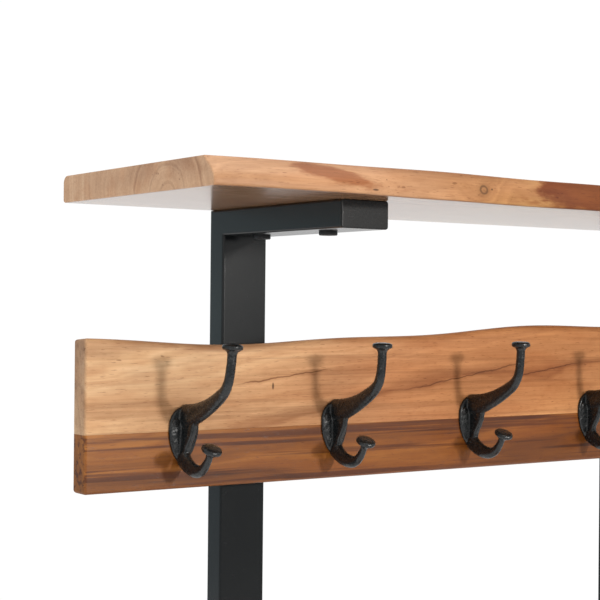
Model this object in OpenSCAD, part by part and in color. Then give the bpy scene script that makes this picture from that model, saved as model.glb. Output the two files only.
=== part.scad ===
// Hall tree: two welded tube side frames, a live-edge shelf on top, a glued hook
// board with five cast coat hooks, and a bench seat below. Millimetres, +Z up.
// Origin: on the floor, under the middle of the whole piece. The front faces -Y.

/* [Overall] */
// Width of the shelf, the hook board and the seat
total_w = 914; // [800:1:1000]
// Height of the top face of the shelf above the floor
total_h = 1829; // [1700:1:1900]
// Depth from the seat's front edge to the bolt heads behind the posts
total_d = 410; // [380:1:450]
// Distance from the ends of the wood to the outer face of each side frame
overhang = 159; // [120:1:180]

/* [Side frames] */
// Wide side of the rectangular tube
tube_w = 50.8; // [45:0.1:60]
// Narrow side of the rectangular tube
tube_t = 25.4; // [22:0.1:30]
// Wall of the tube
tube_wall = 1.5; // [1.2:0.1:2.5]
// Reach of the shelf arm in front of its post, end cap included
arm_reach = 196; // [180:1:210]
// Distance from the seat's front edge back to the front legs
leg_setback = 30; // [10:1:60]
// Height of the tube frame above the floor, taken up by the feet
frame_lift = 14; // [14:1:20]

/* [Shelf] */
// Thickness of the shelf slab
shelf_t = 25; // [22:1:30]
// Mean reach of the shelf's upper front edge in front of the posts
shelf_reach = 230; // [215:1:240]
// How far the lower front edge stands out beyond the upper one at the left end
shelf_lean = 17; // [0:1:20]

/* [Hook board] */
// Thickness of the hook board
board_t = 24; // [20:1:28]
// Mean height of the hook board
board_h = 145; // [130:1:155]
// Height of the lower stave of the hook board
lower_stave_h = 54; // [45:1:58]
// Drop from the underside of the shelf to the bottom of the board
board_drop = 266; // [240:1:300]

/* [Hooks] */
// Distance from the board's end to the middle of the first hook
hook_inset = 102; // [80:1:130]
// Height of the hooks' screw plates above the bottom of the board
hook_rise = 56; // [50:1:64]
// Radius of the round cap on each prong
cap_r = 9; // [7:0.5:11]
// Radius of the upper prong near its cap
prong_r = 4.6; // [4:0.1:5.5]
// Sideways lean of the first hook on its screws, in degrees
first_hook_lean = 3.5; // [0:0.5:5]

/* [Seat] */
// Height of the top face of the seat
seat_h = 457; // [420:1:480]
// Thickness of the seat staves
seat_t = 32; // [28:1:38]

/* [Fasteners and feet] */
// Radius of the furniture bolts' shanks
bolt_r = 3; // [2.5:0.1:3.5]
// Radius of the furniture bolts' flat heads
head_r = 8.5; // [7:0.5:9]
// Thickness of the furniture bolts' heads
head_t = 4; // [3:0.5:5]
// Radius of the threaded levelling studs
stud_r = 4; // [3.5:0.1:4.5]
// Radius of the levelling feet's pads
pad_r = 13; // [11:0.5:15]

/* [Hidden] */

$fn = 48;
past = 1;          // how far a cutter runs past the face it opens
slip = 0.05;       // radial clearance between a shank and its hole

// Depths: the rear bolt heads and the seat's front edge are equally far from the origin
seat_front_y = -total_d / 2;
post_rear_y = total_d / 2 - head_t;
post_front_y = post_rear_y - tube_t;
leg_front_y = seat_front_y + leg_setback;
arm_front_y = post_front_y - arm_reach;
board_front_y = post_front_y - board_t;

// Heights
arm_top_z = total_h - shelf_t;
arm_low_z = arm_top_z - tube_t;
board_low_z = arm_top_z - board_drop;
glue_z = board_low_z + lower_stave_h;
bearer_top_z = seat_h - seat_t;
bearer_low_z = bearer_top_z - tube_t;

// Middle of the tube on the right-hand side frame, counted from the centre plane
frame_x = total_w / 2 - overhang - tube_w / 2;

// Bolt places along the tubes
shelf_bolt_y = [arm_front_y + 56, arm_front_y + 166];
board_bolt_z = [board_low_z + 27, board_low_z + 100];
seat_gap = 2;
seat_stave_d = (post_front_y - seat_gap - seat_front_y) / 3;
seat_bolt_y = [for (k = [0:2]) seat_front_y + (k + 0.55) * seat_stave_d];
foot_y = [leg_front_y + 32, post_rear_y - 32];

// Threaded inserts pressed into the wood
insert_r = 5;
insert_l = 13;
bolt_grip = 11.5;  // length of bolt inside its insert
wood_hole_l = 16;  // depth of the hole that takes an insert

// Arm end caps
cap_plate_t = 2.5;
cap_plug_l = 10;

// Hooks
hook_count = 5;
hook_drift = [0, -3, 0, 0, 0];   // each hook's distance from even spacing
hook_step = (total_w - 2 * hook_inset) / (hook_count - 1);
hook_z = board_low_z + hook_rise;
plate_t = 3;
plate_half_w = 16;
plate_top = 19.5;
plate_low = 39;
plate_mid = 2;     // height of the plate's widest line
plate_point = 1.6; // the larger, the more pointed the plate's lower half
screw_x = 9.5;
screw_z = 6;
screw_r = 2;
screw_head_r = 4;
screw_head_t = 2;
screw_l = 22;
// Each prong: where it starts, its first heading, its bends as [radius, turn], its root radius
upper_prong = [[3.5, 9.8], 12, [[180, 21], [26, 47], [130, 9]], 6];
lower_prong = [[5, -25.5], -43.5, [[50, 27.5], [15, 46], [22, 25], [400, 1]], 5.4];
bend_steps = 5;    // rings in each bend
prong_sides = 12;
web_w = 9;
web_side = [
    [1, -34], [6, -31], [9, -22], [13, -14], [16.5, -5],
    [17, 6], [27, 14], [20, 18], [1, 15]
];
cap_h = 3.2;       // height of a prong's cap above its flare
cap_flare = 4.4;   // cone below the rim

// Levelling feet
pad_h = 7;
pad_floor = 3;     // thickness of the pad under the stud
collar_r = 7.5;
collar_z = 8.5;
collar_h = 4;
stud_top_z = 34;
barrel_r = 5.5;
barrel_l = 12;
flange_r = 7;
flange_t = 1;

// Live edges: two cosine waves of different length, sampled along the width
wave_steps = 60;
function along(i) = total_w * (i / wave_steps - 0.5);
function wave(x, size, length, crest) = size * cos(360 * (x - crest) / length);
function board_top(x) = board_low_z + board_h + wave(x, 8.5, 980, 190) + wave(x, 1.6, 260, -175);
function shelf_front(x) = post_front_y - shelf_reach - wave(x, 6, 600, -260) - wave(x, 2.5, 200, -215);
function ramp(t) = t <= 0 ? 0 : t >= 1 ? 1 : (1 - cos(180 * t)) / 2;
function shelf_low_front(x) = shelf_front(x) - shelf_lean * ramp((-220 - x) / 120);
function seat_front(x) = seat_front_y + 7.5 - wave(x, 5, 700, 0) - wave(x, 2.5, 230, 0);
function hook_x(i) = -total_w / 2 + hook_inset + i * hook_step + hook_drift[i];
function hook_lean(i) = i == 0 ? first_hook_lean : 0;

// A bend turns left from a heading, measured in degrees from straight out
function bend_centre(p, heading, r) = p + r * [-sin(heading), cos(heading)];
function bend_end(p, heading, r, turn) =
    bend_centre(p, heading, r) + r * [sin(heading + turn), -cos(heading + turn)];

// The middle line of a chain of bends, as [place, heading] pairs
function bent_line(p, heading, bends, k = 0) =
    k == len(bends) ? [[p, heading]] :
    concat(
        [for (j = [0:bend_steps - 1])
            let (turn = bends[k][1] * j / bend_steps)
            [bend_end(p, heading, bends[k][0], turn), heading + turn]],
        bent_line(bend_end(p, heading, bends[k][0], bends[k][1]), heading + bends[k][1], bends, k + 1)
    );

// ---- tube frame -------------------------------------------------------------

// Rectangular tube along Z from 0 to l, wide side along X, centred on X and Y
module tube(l) {
    linear_extrude(l)
        difference() {
            square([tube_w, tube_t], center = true);
            square([tube_w - 2 * tube_wall, tube_t - 2 * tube_wall], center = true);
        }
}

// Removes everything beyond a 45 degree mitre that starts at the tube's end corner
module mitre_cut(lean) {
    rotate([lean, 0, 0])
        translate([-tube_w, -4 * tube_t, 0])
            cube([2 * tube_w, 8 * tube_t, 4 * tube_t]);
}

// Upright tube between two heights, mitred at the ends that are asked for
module upright(y_front, low_z, high_z, low_lean, high_lean) {
    translate([0, y_front + tube_t / 2, 0])
        difference() {
            translate([0, 0, low_z])
                tube(high_z - low_z);
            if (high_lean != 0)
                translate([0, 0, high_z - tube_t / 2])
                    mitre_cut(high_lean);
            if (low_lean != 0)
                translate([0, 0, low_z + tube_t / 2])
                    mitre_cut(low_lean);
        }
}

// Level tube from the front to the back, mitred at the ends that are asked for
module level_tube(y_front, y_rear, low_z, front_lean, rear_lean) {
    difference() {
        translate([0, y_rear, low_z + tube_t / 2])
            rotate([90, 0, 0])
                tube(y_rear - y_front);
        if (front_lean != 0)
            translate([0, y_front + tube_t / 2, low_z + tube_t / 2])
                mitre_cut(front_lean);
        if (rear_lean != 0)
            translate([0, y_rear - tube_t / 2, low_z + tube_t / 2])
                mitre_cut(rear_lean);
    }
}

module post(side) {
    color("#2b2d2f")
        difference() {
            translate([side * frame_x, 0, 0])
                upright(post_front_y, frame_lift, arm_top_z, 135, 45);
            for (z = board_bolt_z)
                translate([side * frame_x, post_rear_y + past, z])
                    rotate([90, 0, 0])
                        cylinder(r = bolt_r + 0.3, h = tube_t + 2 * past);
        }
}

module shelf_arm(side) {
    color("#2b2d2f")
        difference() {
            translate([side * frame_x, 0, 0])
                level_tube(arm_front_y + cap_plate_t, post_rear_y, arm_low_z, 0, 225);
            for (y = shelf_bolt_y)
                translate([side * frame_x, y, arm_low_z - past])
                    cylinder(r = bolt_r + 0.3, h = tube_t + 2 * past);
        }
}

module seat_bearer(side) {
    color("#2b2d2f")
        difference() {
            translate([side * frame_x, 0, 0])
                level_tube(leg_front_y, post_front_y, bearer_low_z, 135, 0);
            for (y = seat_bolt_y)
                translate([side * frame_x, y, bearer_low_z - past])
                    cylinder(r = bolt_r + 0.3, h = tube_t + 2 * past);
        }
}

module front_leg(side) {
    color("#2b2d2f")
        translate([side * frame_x, 0, 0])
            upright(leg_front_y, frame_lift, bearer_top_z, 225, -45);
}

module floor_runner(side) {
    color("#2b2d2f")
        difference() {
            translate([side * frame_x, 0, 0])
                level_tube(leg_front_y, post_rear_y, frame_lift, 45, -45);
            for (y = foot_y)
                translate([side * frame_x, y, frame_lift - past])
                    cylinder(r = barrel_r + slip, h = tube_t / 2);
        }
}

module arm_end_cap(side) {
    plug_w = tube_w - 2 * tube_wall - 2 * slip;
    plug_t = tube_t - 2 * tube_wall - 2 * slip;
    color("#232425")
        translate([side * frame_x, arm_front_y, arm_low_z + tube_t / 2]) {
            translate([0, cap_plate_t / 2, 0])
                cube([tube_w, cap_plate_t, tube_t], center = true);
            translate([0, cap_plate_t + cap_plug_l / 2, 0])
                cube([plug_w, cap_plug_l, plug_t], center = true);
        }
}

// ---- wood -------------------------------------------------------------------

// Round holes that take the threaded inserts, opening downwards
module insert_holes_up(y_list, low_z) {
    for (side = [-1, 1])
        for (y = y_list)
            translate([side * frame_x, y, low_z - past])
                cylinder(r = insert_r + slip, h = wood_hole_l + past);
}

// Round holes for the inserts in the back of the hook board
module insert_holes_back(z_list) {
    for (side = [-1, 1])
        for (z = z_list)
            translate([side * frame_x, post_front_y + past, z])
                rotate([90, 0, 0])
                    cylinder(r = insert_r + slip, h = wood_hole_l + past);
}

// Slab with a wavy front whose lower edge leans out, as a run of four-cornered rings
module live_slab() {
    last = wave_steps;
    polyhedron(
        points = [for (i = [0:last]) let (x = along(i)) each [
            [x, shelf_low_front(x), 0], [x, post_rear_y, 0],
            [x, post_rear_y, shelf_t], [x, shelf_front(x), shelf_t]
        ]],
        faces = concat(
            [[0, 1, 2, 3]],
            [for (i = [0:last - 1]) for (k = [0:3])
                [4 * i + k, 4 * i + 4 + k, 4 * i + 4 + (k + 1) % 4]],
            [for (i = [0:last - 1]) for (k = [0:3])
                [4 * i + k, 4 * i + 4 + (k + 1) % 4, 4 * i + (k + 1) % 4]],
            [[for (k = [3:-1:0]) 4 * last + k]]
        )
    );
}

module top_shelf() {
    color("#c08a5c")
        difference() {
            translate([0, 0, arm_top_z])
                live_slab();
            insert_holes_up(shelf_bolt_y, arm_top_z);
        }
}

module hook_board_upper_stave() {
    color("#c8925f")
        difference() {
            translate([0, post_front_y, 0])
                rotate([90, 0, 0])
                    linear_extrude(board_t)
                        polygon(concat(
                            [for (i = [0:wave_steps]) [along(i), board_top(along(i))]],
                            [[total_w / 2, glue_z], [-total_w / 2, glue_z]]
                        ));
            insert_holes_back([board_bolt_z[1]]);
            for (i = [0:hook_count - 1])
                at_screws(i)
                    translate([0, 0, -screw_l])
                        cylinder(r = screw_r + slip, h = screw_l + past);
        }
}

module hook_board_lower_stave() {
    color("#8f5a35")
        difference() {
            translate([-total_w / 2, board_front_y, board_low_z])
                cube([total_w, board_t, lower_stave_h]);
            insert_holes_back([board_bolt_z[0]]);
        }
}

// One of the three seat staves: 0 is the front one, with the live edge
module seat_stave(k) {
    rear_y = seat_front_y + (k + 1) * seat_stave_d;
    live_edge = [for (i = [0:wave_steps]) [along(i), seat_front(along(i))]];
    sawn_edge = [for (side = [-1, 1]) [side * total_w / 2, rear_y - seat_stave_d]];
    color(["#c8925f", "#a86d42", "#bd8455"][k])
        difference() {
            translate([0, 0, bearer_top_z])
                linear_extrude(seat_t)
                    polygon(concat(
                        k == 0 ? live_edge : sawn_edge,
                        [[total_w / 2, rear_y], [-total_w / 2, rear_y]]
                    ));
            insert_holes_up([seat_bolt_y[k]], bearer_top_z);
        }
}

// ---- hooks ------------------------------------------------------------------

// Puts a shape at a hook's place on the board, its Z axis pointing out of the board
module at_hook(i) {
    translate([hook_x(i), board_front_y, hook_z])
        rotate([0, hook_lean(i), 0])
            children();
}

// Puts a shape at both screws of a hook, its Z axis pointing out of the board
module at_screws(i) {
    at_hook(i)
        for (side = [-1, 1])
            translate([side * screw_x, 0, screw_z])
                rotate([90, 0, 0])
                    children();
}

// Point at an angle round a ring that faces along a heading
function ring_point(centre, heading, r, a) = [
    centre[0] - r * cos(a) * sin(heading),
    r * sin(a),
    centre[1] + r * cos(a) * cos(heading)
];

// Round bar of changing radius along a line of [place, heading, radius] rings
module swept_bar(rings) {
    n = prong_sides;
    last = len(rings) - 1;
    polyhedron(
        points = [for (g = rings) for (k = [0:n - 1]) ring_point(g[0], g[1], g[2], 360 * k / n)],
        faces = concat(
            [[for (k = [n - 1:-1:0]) k]],
            [for (i = [0:last - 1]) for (k = [0:n - 1])
                [i * n + k, (i + 1) * n + (k + 1) % n, (i + 1) * n + k]],
            [for (i = [0:last - 1]) for (k = [0:n - 1])
                [i * n + k, i * n + (k + 1) % n, (i + 1) * n + (k + 1) % n]],
            [[for (k = [0:n - 1]) last * n + k]]
        )
    );
}

// A prong: it thins from root to stem, flares into its cap, and ends in a flat disc
module prong(start, heading, bends, root_r) {
    line = bent_line(start, heading, bends);
    last = len(line) - 1;
    tip = line[last][0];
    aim = line[last][1];
    stem = [for (i = [0:last]) [line[i][0], line[i][1], root_r + (prong_r - root_r) * i / last]];
    cap = [for (step = [[cap_flare, cap_r - 0.6], [cap_flare + 1, cap_r], [cap_flare + cap_h, cap_r],
                        [cap_flare + cap_h + 0.8, cap_r - 1.2]])
        [tip + step[0] * [cos(aim), sin(aim)], aim, step[1]]];
    swept_bar(concat(stem, cap));
}

module hook_plate() {
    rotate([90, 0, 0])
        linear_extrude(plate_t)
            difference() {
                polygon(concat(
                    [for (a = [0:10:180])
                        [plate_half_w * cos(a), plate_mid + plate_top * sin(a)]],
                    [for (a = [10:10:90])
                        [-plate_half_w * pow(cos(a), plate_point), plate_mid - plate_low * sin(a)]],
                    [for (a = [80:-10:10])
                        [plate_half_w * pow(cos(a), plate_point), plate_mid - plate_low * sin(a)]]
                ));
                for (side = [-1, 1])
                    translate([side * screw_x, screw_z])
                        circle(r = screw_r + 0.2);
            }
}

module hook(i) {
    color("#1b1c1c")
        at_hook(i) {
            hook_plate();
            rotate([0, 0, -90]) {
                translate([0, web_w / 2, 0])
                    rotate([90, 0, 0])
                        linear_extrude(web_w)
                            polygon(web_side);
                for (p = [upper_prong, lower_prong])
                    prong(p[0], p[1], p[2], p[3]);
            }
        }
}

module hook_screws() {
    color("#161616")
        for (i = [0:hook_count - 1])
            at_screws(i) {
                translate([0, 0, 2 - screw_l])
                    cylinder(r = screw_r, h = screw_l - 2 + plate_t);
                translate([0, 0, plate_t])
                    difference() {
                        cylinder(r1 = screw_head_r, r2 = screw_head_r - 1, h = screw_head_t);
                        for (a = [0, 90])
                            rotate([0, 0, a])
                                translate([-2.2, -0.4, screw_head_t - 1])
                                    cube([4.4, 0.8, 2]);
                    }
            }
}

// ---- fasteners --------------------------------------------------------------

// Furniture bolt along +Z: flat round head below Z = 0, hex recess, shank above
module bolt(grip) {
    translate([0, 0, -head_t])
        difference() {
            cylinder(r = head_r, h = head_t);
            translate([0, 0, -past])
                cylinder(r = 2.3, h = 3 + past, $fn = 6);
        }
    cylinder(r = bolt_r, h = grip);
}

// Threaded insert along +Z from Z = 0
module insert() {
    difference() {
        cylinder(r = insert_r, h = insert_l);
        translate([0, 0, -past])
            cylinder(r = bolt_r + slip, h = insert_l + 2 * past);
    }
}

module at_shelf_bolts() {
    for (side = [-1, 1])
        for (y = shelf_bolt_y)
            translate([side * frame_x, y, arm_low_z])
                children();
}

module at_board_bolts() {
    for (side = [-1, 1])
        for (z = board_bolt_z)
            translate([side * frame_x, post_rear_y, z])
                rotate([90, 0, 0])
                    children();
}

module at_seat_bolts() {
    for (side = [-1, 1])
        for (y = seat_bolt_y)
            translate([side * frame_x, y, bearer_low_z])
                children();
}

module shelf_bolts() {
    color("#151515")
        at_shelf_bolts()
            bolt(tube_t + bolt_grip);
}

module shelf_inserts() {
    color("#b5a56a")
        at_shelf_bolts()
            translate([0, 0, tube_t])
                insert();
}

module board_bolts() {
    color("#151515")
        at_board_bolts()
            bolt(tube_t + bolt_grip);
}

module board_inserts() {
    color("#b5a56a")
        at_board_bolts()
            translate([0, 0, tube_t])
                insert();
}

module seat_bolts() {
    color("#151515")
        at_seat_bolts()
            bolt(tube_t + bolt_grip);
}

module seat_inserts() {
    color("#b5a56a")
        at_seat_bolts()
            translate([0, 0, tube_t])
                insert();
}

// ---- levelling feet ---------------------------------------------------------

// Threaded sockets pressed into the bottom wall of the floor runners
module foot_inserts() {
    color("#9c9c98")
        for (side = [-1, 1])
            for (y = foot_y)
                translate([side * frame_x, y, frame_lift])
                    difference() {
                        union() {
                            translate([0, 0, -flange_t])
                                cylinder(r = flange_r, h = flange_t);
                            cylinder(r = barrel_r, h = barrel_l);
                        }
                        translate([0, 0, -flange_t - past])
                            cylinder(r = stud_r + slip, h = barrel_l + flange_t + 2 * past);
                    }
}

module foot_pad(side, y) {
    color("#3a3a3a")
        translate([side * frame_x, y, 0])
            difference() {
                union() {
                    cylinder(r = pad_r, h = 3);
                    translate([0, 0, 3])
                        cylinder(r1 = pad_r, r2 = pad_r - 5, h = pad_h - 3);
                }
                translate([0, 0, pad_floor])
                    cylinder(r = stud_r + slip, h = pad_h);
            }
}

module foot_stud(side, y) {
    color("#a9abad")
        translate([side * frame_x, y, 0]) {
            translate([0, 0, pad_floor + slip])
                cylinder(r = stud_r, h = stud_top_z - pad_floor - slip);
            translate([0, 0, collar_z])
                cylinder(r = collar_r, h = collar_h, $fn = 6);
        }
}

post(-1);  // post_left
post(1);  // post_right
shelf_arm(-1);  // shelf_arm_left
shelf_arm(1);  // shelf_arm_right
arm_end_cap(-1);  // arm_end_cap_left
arm_end_cap(1);  // arm_end_cap_right
seat_bearer(-1);  // seat_bearer_left
seat_bearer(1);  // seat_bearer_right
front_leg(-1);  // front_leg_left
front_leg(1);  // front_leg_right
floor_runner(-1);  // floor_runner_left
floor_runner(1);  // floor_runner_right
top_shelf();
hook_board_upper_stave();
hook_board_lower_stave();
seat_stave(0);  // seat_front_stave
seat_stave(1);  // seat_middle_stave
seat_stave(2);  // seat_rear_stave
hook(0);  // hook_1
hook(1);  // hook_2
hook(2);  // hook_3
hook(3);  // hook_4
hook(4);  // hook_5
hook_screws();
shelf_bolts();
shelf_inserts();
board_bolts();
board_inserts();
seat_bolts();
seat_inserts();
foot_inserts();
foot_pad(-1, foot_y[0]);  // foot_pad_front_left
foot_pad(1, foot_y[0]);  // foot_pad_front_right
foot_pad(-1, foot_y[1]);  // foot_pad_rear_left
foot_pad(1, foot_y[1]);  // foot_pad_rear_right
foot_stud(-1, foot_y[0]);  // foot_stud_front_left
foot_stud(1, foot_y[0]);  // foot_stud_front_right
foot_stud(-1, foot_y[1]);  // foot_stud_rear_left
foot_stud(1, foot_y[1]);  // foot_stud_rear_right
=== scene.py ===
"""Looks of the hall tree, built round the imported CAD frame. Metres, +Z up, front towards -Y."""
import math

import bmesh
import bpy
import numpy as np
from mathutils import Matrix, Vector, noise


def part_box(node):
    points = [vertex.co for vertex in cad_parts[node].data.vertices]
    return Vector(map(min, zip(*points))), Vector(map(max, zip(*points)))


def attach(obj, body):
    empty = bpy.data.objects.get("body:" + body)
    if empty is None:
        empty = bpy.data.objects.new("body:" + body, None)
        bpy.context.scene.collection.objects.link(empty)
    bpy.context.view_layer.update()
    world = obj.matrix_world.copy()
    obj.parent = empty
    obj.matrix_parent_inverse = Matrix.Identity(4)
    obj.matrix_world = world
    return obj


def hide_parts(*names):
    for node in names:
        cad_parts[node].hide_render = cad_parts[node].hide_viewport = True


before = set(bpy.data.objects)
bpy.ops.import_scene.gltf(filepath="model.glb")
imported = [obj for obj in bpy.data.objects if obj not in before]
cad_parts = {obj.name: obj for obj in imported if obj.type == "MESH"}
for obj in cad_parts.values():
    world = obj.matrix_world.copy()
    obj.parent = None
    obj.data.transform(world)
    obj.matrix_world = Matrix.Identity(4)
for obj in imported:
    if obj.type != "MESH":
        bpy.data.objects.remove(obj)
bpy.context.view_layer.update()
MM = 0.001

# ---- places taken from the frame ----

shelf_low, shelf_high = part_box("top_shelf")
board_low, board_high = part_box("hook_board_lower_stave")
stave_low, stave_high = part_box("hook_board_upper_stave")


def cluster_centres(node, count, axis_a, axis_b, reach):
    """Middles, in two directions, of the equal solids no wider than reach in a CAD node."""
    groups = []
    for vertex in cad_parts[node].data.vertices:
        place = (vertex.co[axis_a], vertex.co[axis_b])
        near = [g for g in groups if math.dist(g[0], place) < reach]
        if near:
            near[0].append(place)
        else:
            groups.append([place])
    middles = [tuple((min(side) + max(side)) / 2 for side in zip(*group)) for group in groups]
    if len(middles) != count:
        raise ValueError(f"{node}: {len(middles)} solids found where {count} are expected")
    return sorted(middles)


# ---- node trees ----


class Nodes:
    """A node tree, with short calls for the nodes that the world and the finishes use."""

    def __init__(self, tree):
        self.tree = tree
        tree.nodes.clear()

    def put(self, socket, value):
        """Sets a socket to a number or colour, or links it."""
        if isinstance(value, bpy.types.NodeSocket):
            self.tree.links.new(value, socket)
        elif isinstance(value, tuple) and socket.type == "RGBA":
            socket.default_value = (*value, 1.0)
        else:
            socket.default_value = value

    def add(self, kind, inputs, **settings):
        """A new node, with its inputs by name or number."""
        node = self.tree.nodes.new("ShaderNode" + kind)
        for name, value in settings.items():
            setattr(node, name, value)
        for key, value in inputs.items():
            self.put(node.inputs[key], value)
        return node

    def math(self, operation, a, b=0.0):
        return self.add("Math", {0: a, 1: b}, operation=operation).outputs[0]

    def times(self, a, b):
        return self.math("MULTIPLY", a, b)

    def plus(self, a, b):
        return self.math("ADD", a, b)

    def minus(self, a, b):
        return self.math("SUBTRACT", a, b)

    def size_of(self, value):
        return self.math("ABSOLUTE", value)

    def vector(self, operation, a, b):
        node = self.add("VectorMath", {0: a, 1: b}, operation=operation)
        return node.outputs["Value" if operation in ("LENGTH", "DOT_PRODUCT") else "Vector"]

    def length(self, vector):
        return self.vector("LENGTH", vector, (0, 0, 0))

    def noise(self, place, scale=1.0, detail=2.0, roughness=0.5, colour=False):
        inputs = {"Vector": place, "Scale": scale, "Detail": detail, "Roughness": roughness}
        return self.add("TexNoise", inputs).outputs["Color" if colour else "Fac"]

    def bands(self, value, scale):
        """Noise along one value only."""
        inputs = {"W": value, "Scale": scale, "Detail": 2.0, "Roughness": 0.6}
        return self.add("TexNoise", inputs, noise_dimensions="1D").outputs["Fac"]

    def between(self, value, low, high):
        """0 up to low, 1 from high, smooth in between."""
        inputs = {"Value": value, "From Min": low, "From Max": high}
        return self.add("MapRange", inputs, interpolation_type="SMOOTHSTEP").outputs["Result"]

    def within(self, value, near, far):
        """1 up to near, 0 from far, smooth in between."""
        return self.minus(1.0, self.between(value, near, far))

    def ramp(self, value, stops, interpolation="LINEAR"):
        node = self.add("ValToRGB", {"Fac": value})
        node.color_ramp.interpolation = interpolation
        elements = node.color_ramp.elements
        while len(elements) < len(stops):
            elements.new(0.5)
        for element, (position, colour) in zip(elements, stops):
            element.position = position
            element.color = (*colour, 1.0)
        return node.outputs["Color"]

    def mix(self, share, a, b, blend="MIX"):
        return self.add("Mix", {0: share, 6: a, 7: b}, data_type="RGBA", blend_type=blend).outputs[2]

    def attribute(self, name):
        return self.add("Attribute", {}, attribute_name=name).outputs["Fac"]

    def split(self, vector):
        return self.add("SeparateXYZ", {0: vector}).outputs

    def join(self, x, y, z):
        return self.add("CombineXYZ", {0: x, 1: y, 2: z}).outputs[0]

    def bump(self, height, distance, strength, normal=None):
        inputs = {"Height": height, "Distance": distance, "Strength": strength}
        if normal is not None:
            inputs["Normal"] = normal
        return self.add("Bump", inputs).outputs["Normal"]


# ---- camera, floor and light ----

CAMERA_LEFT_OF_SHELF = 0.5971
CAMERA_BEFORE_BOARD = 1.2056
CAMERA_ABOVE_BOARD_FOOT = 0.1722
CAMERA_YAW = math.radians(34.582)  # turned from the +Y direction towards +X
CAMERA_PITCH = math.radians(0.246)
CAMERA_ROLL = math.radians(0.536)
CAMERA_LENS = 88.76

# brightness of the room by height, from well below the horizon (0) to well above it (1)
FRONT_ROOM = ((0.10, (0.10, 0.10, 0.10)), (0.30, (0.12, 0.12, 0.12)), (0.44, (1, 1, 1)),
              (0.54, (1, 1, 1)), (0.66, (0.55, 0.55, 0.54)))
SIDE_ROOM = ((0.10, (0.22, 0.26, 0.28)), (0.34, (0.30, 0.36, 0.38)), (0.50, (0.56, 0.69, 0.71)),
             (0.64, (0.26, 0.32, 0.34)), (0.90, (0.26, 0.30, 0.32)))
BACKDROP = (0.64, 0.64, 0.64)
ROOM_STRENGTH = 1.5  # what mirrors see
WHITE_STRENGTH = 1.02  # what the camera sees
FILL_STRENGTH = 0.54  # what lights the rest
FLOOR_RADIUS = 6.4


def make_camera():
    data = bpy.data.cameras.new("camera")
    data.lens = CAMERA_LENS
    data.sensor_width = 36.0
    data.clip_start = 0.05
    camera = bpy.data.objects.new("camera", data)
    bpy.context.scene.collection.objects.link(camera)
    place = Matrix.Translation((shelf_low.x - CAMERA_LEFT_OF_SHELF,
                                board_low.y - CAMERA_BEFORE_BOARD,
                                board_low.z + CAMERA_ABOVE_BOARD_FOOT))
    yaw = Matrix.Rotation(-CAMERA_YAW, 4, "Z")
    pitch = Matrix.Rotation(math.pi / 2 + CAMERA_PITCH, 4, "X")
    camera.matrix_world = place @ yaw @ pitch @ Matrix.Rotation(CAMERA_ROLL, 4, "Z")
    bpy.context.scene.camera = camera


def make_area_light(name, place, target, size, power, tint):
    data = bpy.data.lights.new(name, "AREA")
    data.shape = "DISK"
    data.size = size
    data.energy = power
    data.color = tint
    light = bpy.data.objects.new(name, data)
    light.location = place
    light.rotation_euler = (target - place).to_track_quat("-Z", "Y").to_euler()
    bpy.context.scene.collection.objects.link(light)
    return light


def make_world():
    """White backdrop behind the piece, and a dimmer room with a bright horizon in front of it."""
    world = bpy.data.worlds.new("studio")
    bpy.context.scene.world = world
    world.use_nodes = True
    nodes = Nodes(world.node_tree)
    direction = nodes.add("TexCoord", {}).outputs["Generated"]

    def towards(vector, low, high):
        """1 in the directions nearest to vector, 0 in those away from it."""
        return nodes.between(nodes.vector("DOT_PRODUCT", direction, vector), low, high)

    def background(colour, strength):
        return nodes.add("Background", {"Color": colour, "Strength": strength}).outputs[0]

    def choose(share, otherwise, chosen):
        return nodes.add("MixShader", {"Fac": share, 1: otherwise, 2: chosen}).outputs[0]

    height = towards((0, 0, 1), -0.2, 0.2)
    sides, front = (nodes.ramp(height, stops, "EASE") for stops in (SIDE_ROOM, FRONT_ROOM))
    room = nodes.mix(towards((0, -1, 0), -0.3, 0.3), sides, front)
    behind = (math.sin(CAMERA_YAW), math.cos(CAMERA_YAW), 0.0)
    room = nodes.mix(towards(behind, 0.82, 0.93), room, BACKDROP)
    fill = background(towards((0, 0, 1), -1.2, 0.25), FILL_STRENGTH)
    ray = nodes.add("LightPath", {}).outputs
    surface = choose(ray["Is Glossy Ray"], fill, background(room, ROOM_STRENGTH))
    surface = choose(ray["Is Camera Ray"], surface, background((1, 1, 1), WHITE_STRENGTH))
    nodes.add("OutputWorld", {"Surface": surface})


def make_studio():
    make_world()
    middle = Vector((0.0, stave_low.y, stave_low.z))
    key = middle + 3.2 * Vector((0.23, -1.0, 0.22)).normalized()
    make_area_light("key", key, middle, 0.32, 54.0, (1.0, 0.97, 0.93))
    side = middle + Vector((-3.6, -0.4, 0.5))
    left_fill = make_area_light("left_fill", side, middle, 2.6, 66.0, (1.0, 0.99, 0.98))
    left_fill.visible_glossy = False      # or it blows out the seat, seen from the right
    above = Vector((0.0, -0.6, 4.6))
    make_area_light("overhead", above, Vector((0, 0, 0)), 3.4, 84.0, (1.0, 1.0, 1.0))
    bm = bmesh.new()
    bmesh.ops.create_circle(bm, cap_ends=True, segments=96, radius=FLOOR_RADIUS)
    mesh = bpy.data.meshes.new("floor")
    bm.to_mesh(mesh)
    bm.free()
    floor = bpy.data.objects.new("floor", mesh)
    bpy.context.scene.collection.objects.link(floor)
    mesh.materials.append(floor_material())
    bpy.context.scene.view_settings.view_transform = "Standard"


# ---- materials ----

BRIGHTEST_TINT = 1.6


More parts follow.
